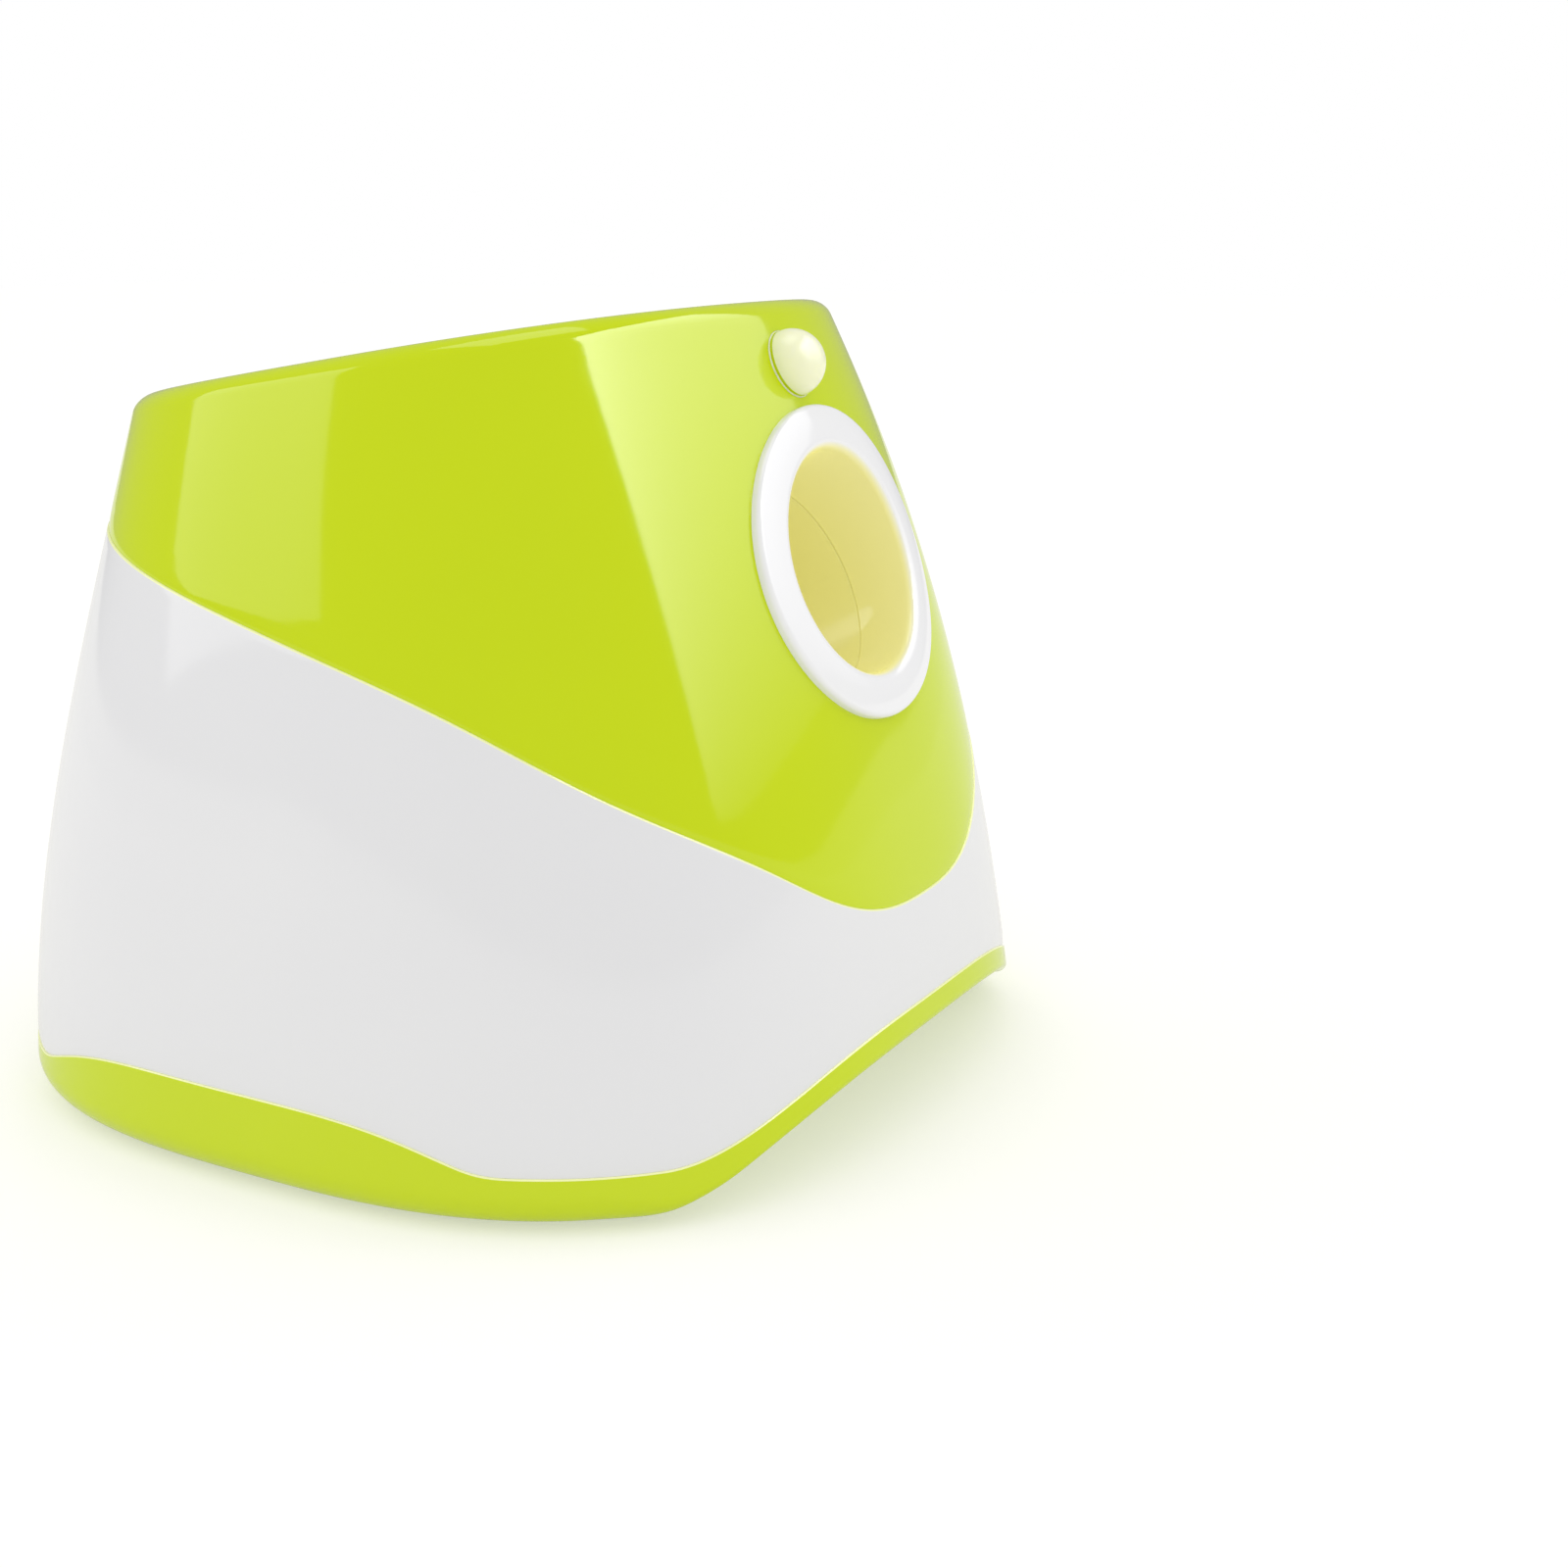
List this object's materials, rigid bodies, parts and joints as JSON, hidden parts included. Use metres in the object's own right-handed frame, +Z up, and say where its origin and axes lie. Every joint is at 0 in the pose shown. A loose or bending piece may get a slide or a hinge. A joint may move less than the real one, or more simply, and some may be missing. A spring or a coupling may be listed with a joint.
{
  "type": "automatic dog ball launcher",
  "caption": "Domed floor-standing launcher that feeds small balls from a top funnel into a sloping barrel, where a wound spring piston throws them out of a round front mouth.",
  "frame": {"origin": "on the floor at the centre of the footprint", "axes": "+Z up, -Y towards the launch mouth, +X to the right of someone standing behind the launcher and looking the way the ball goes"},
  "size_m": [0.2694, 0.2668, 0.2223],
  "materials": {
    "lime_gloss": "glossy lime ABS",
    "white_gloss": "glossy white ABS",
    "lens_translucent": "translucent pale green polyethylene",
    "grey_plastic": "moulded grey ABS",
    "black_plastic": "moulded black plastic",
    "gear_plastic": "natural acetal",
    "piston_plastic": "natural nylon",
    "rubber_dark": "soft rubber",
    "steel_plain": "plain steel",
    "spring_steel": "zinc-plated spring wire",
    "board_green": "solder-masked laminate",
    "contact_metal": "plated brass",
    "cell_wrap": "wrapped steel can"
  },
  "bodies": {
    "housing": {"top_shell": "lime_gloss", "middle_shell": "white_gloss", "base": "lime_gloss", "ball_funnel": "lime_gloss", "launch_ring": "white_gloss", "sensor_lens": "lens_translucent", "sensor_holder": "black_plastic", "sensor_board": "board_green", "motion_sensor": "steel_plain", "barrel": "white_gloss", "barrel_cap": "grey_plastic", "barrel_cradle": "grey_plastic", "cradle_screws": "steel_plain", "ring_screws": "steel_plain", "cap_screws": "steel_plain", "motor": "steel_plain", "motor_screws": "steel_plain", "sector_shaft": "steel_plain", "second_shaft": "steel_plain", "third_shaft": "steel_plain", "gearbox_low_plate": "grey_plastic", "gearbox_top_plate": "grey_plastic", "gearbox_pillars": "grey_plastic", "gearbox_top_screws": "steel_plain", "gearbox_low_screws": "steel_plain", "gearbox_lug_screws": "steel_plain", "lever_pin": "steel_plain", "lever_switch": "black_plastic", "button_switch": "black_plastic", "status_light": "lens_translucent", "buzzer": "black_plastic", "control_board": "board_green", "board_screws": "steel_plain", "power_inlet": "black_plastic", "battery_box": "black_plastic", "battery_cells": "cell_wrap", "battery_contacts": "contact_metal", "battery_door": "lime_gloss", "door_screws": "steel_plain", "rubber_feet": "rubber_dark", "base_screws": "steel_plain", "shell_screws": "steel_plain", "funnel_screws": "steel_plain"},
    "winder": {"sector_gear": "gear_plastic"},
    "plunger": {"piston": "piston_plastic", "piston_pad": "rubber_dark", "launch_spring": "spring_steel"},
    "idler_two": {"second_gear": "gear_plastic"},
    "idler_three": {"third_gear": "gear_plastic"},
    "motor_rotor": {"motor_pinion": "contact_metal", "motor_shaft": "steel_plain"},
    "lever": {"ball_lever": "gear_plastic"},
    "button": {"power_button": "grey_plastic"}
  },
  "joints": [
    {"name": "winder_turn", "type": "hinge", "parent": "housing", "child": "winder", "pos_m": [0.0615, 0.03971, 0.08342], "axis": [0, -0.4384, -0.8988], "range_deg": [0, 88]},
    {"name": "plunger_slide", "type": "slide", "parent": "housing", "child": "plunger", "axis": [0, 0.8988, -0.4384], "range_m": [0, 0.03686], "stiffness_N_per_m": 220, "springref_m": -0.02, "deforming": ["launch_spring"]},
    {"name": "idler_two_turn", "type": "hinge", "parent": "housing", "child": "idler_two", "pos_m": [0.0615, 0.01454, 0.0957], "axis": [0, -0.4384, -0.8988], "range_deg": [-323.67, 0.5]},
    {"name": "idler_three_turn", "type": "hinge", "parent": "housing", "child": "idler_three", "pos_m": [0.0615, -0.00883, 0.10709], "axis": [0, -0.4384, -0.8988], "range_deg": [-0.5, 1076.56]},
    {"name": "motor_turn", "type": "hinge", "parent": "housing", "child": "motor_rotor", "pos_m": [0.07348, -0.02541, 0.11518], "axis": [0, -0.4384, -0.8988], "range_deg": [-3657.89, 0.5]},
    {"name": "lever_swing", "type": "hinge", "parent": "housing", "child": "lever", "pos_m": [-0.0385, -0.03669, 0.12068], "axis": [0, 0.4384, 0.8988], "range_deg": [0, 12], "stiffness_Nm_per_rad": 0.02, "springref_deg": -8.59},
    {"name": "button_press", "type": "slide", "parent": "housing", "child": "button", "axis": [0, -0.9576, -0.2882], "range_m": [0, 0.001], "stiffness_N_per_m": 400, "springref_m": -0.0008}
  ],
  "couplings": [
    {"joint": "winder_turn", "follows": "plunger_slide", "rad_per_m": 41.667},
    {"joint": "idler_two_turn", "follows": "plunger_slide", "rad_per_m": -152.78},
    {"joint": "idler_three_turn", "follows": "plunger_slide", "rad_per_m": 509.26},
    {"joint": "motor_turn", "follows": "plunger_slide", "rad_per_m": -1731.5}
  ]
}
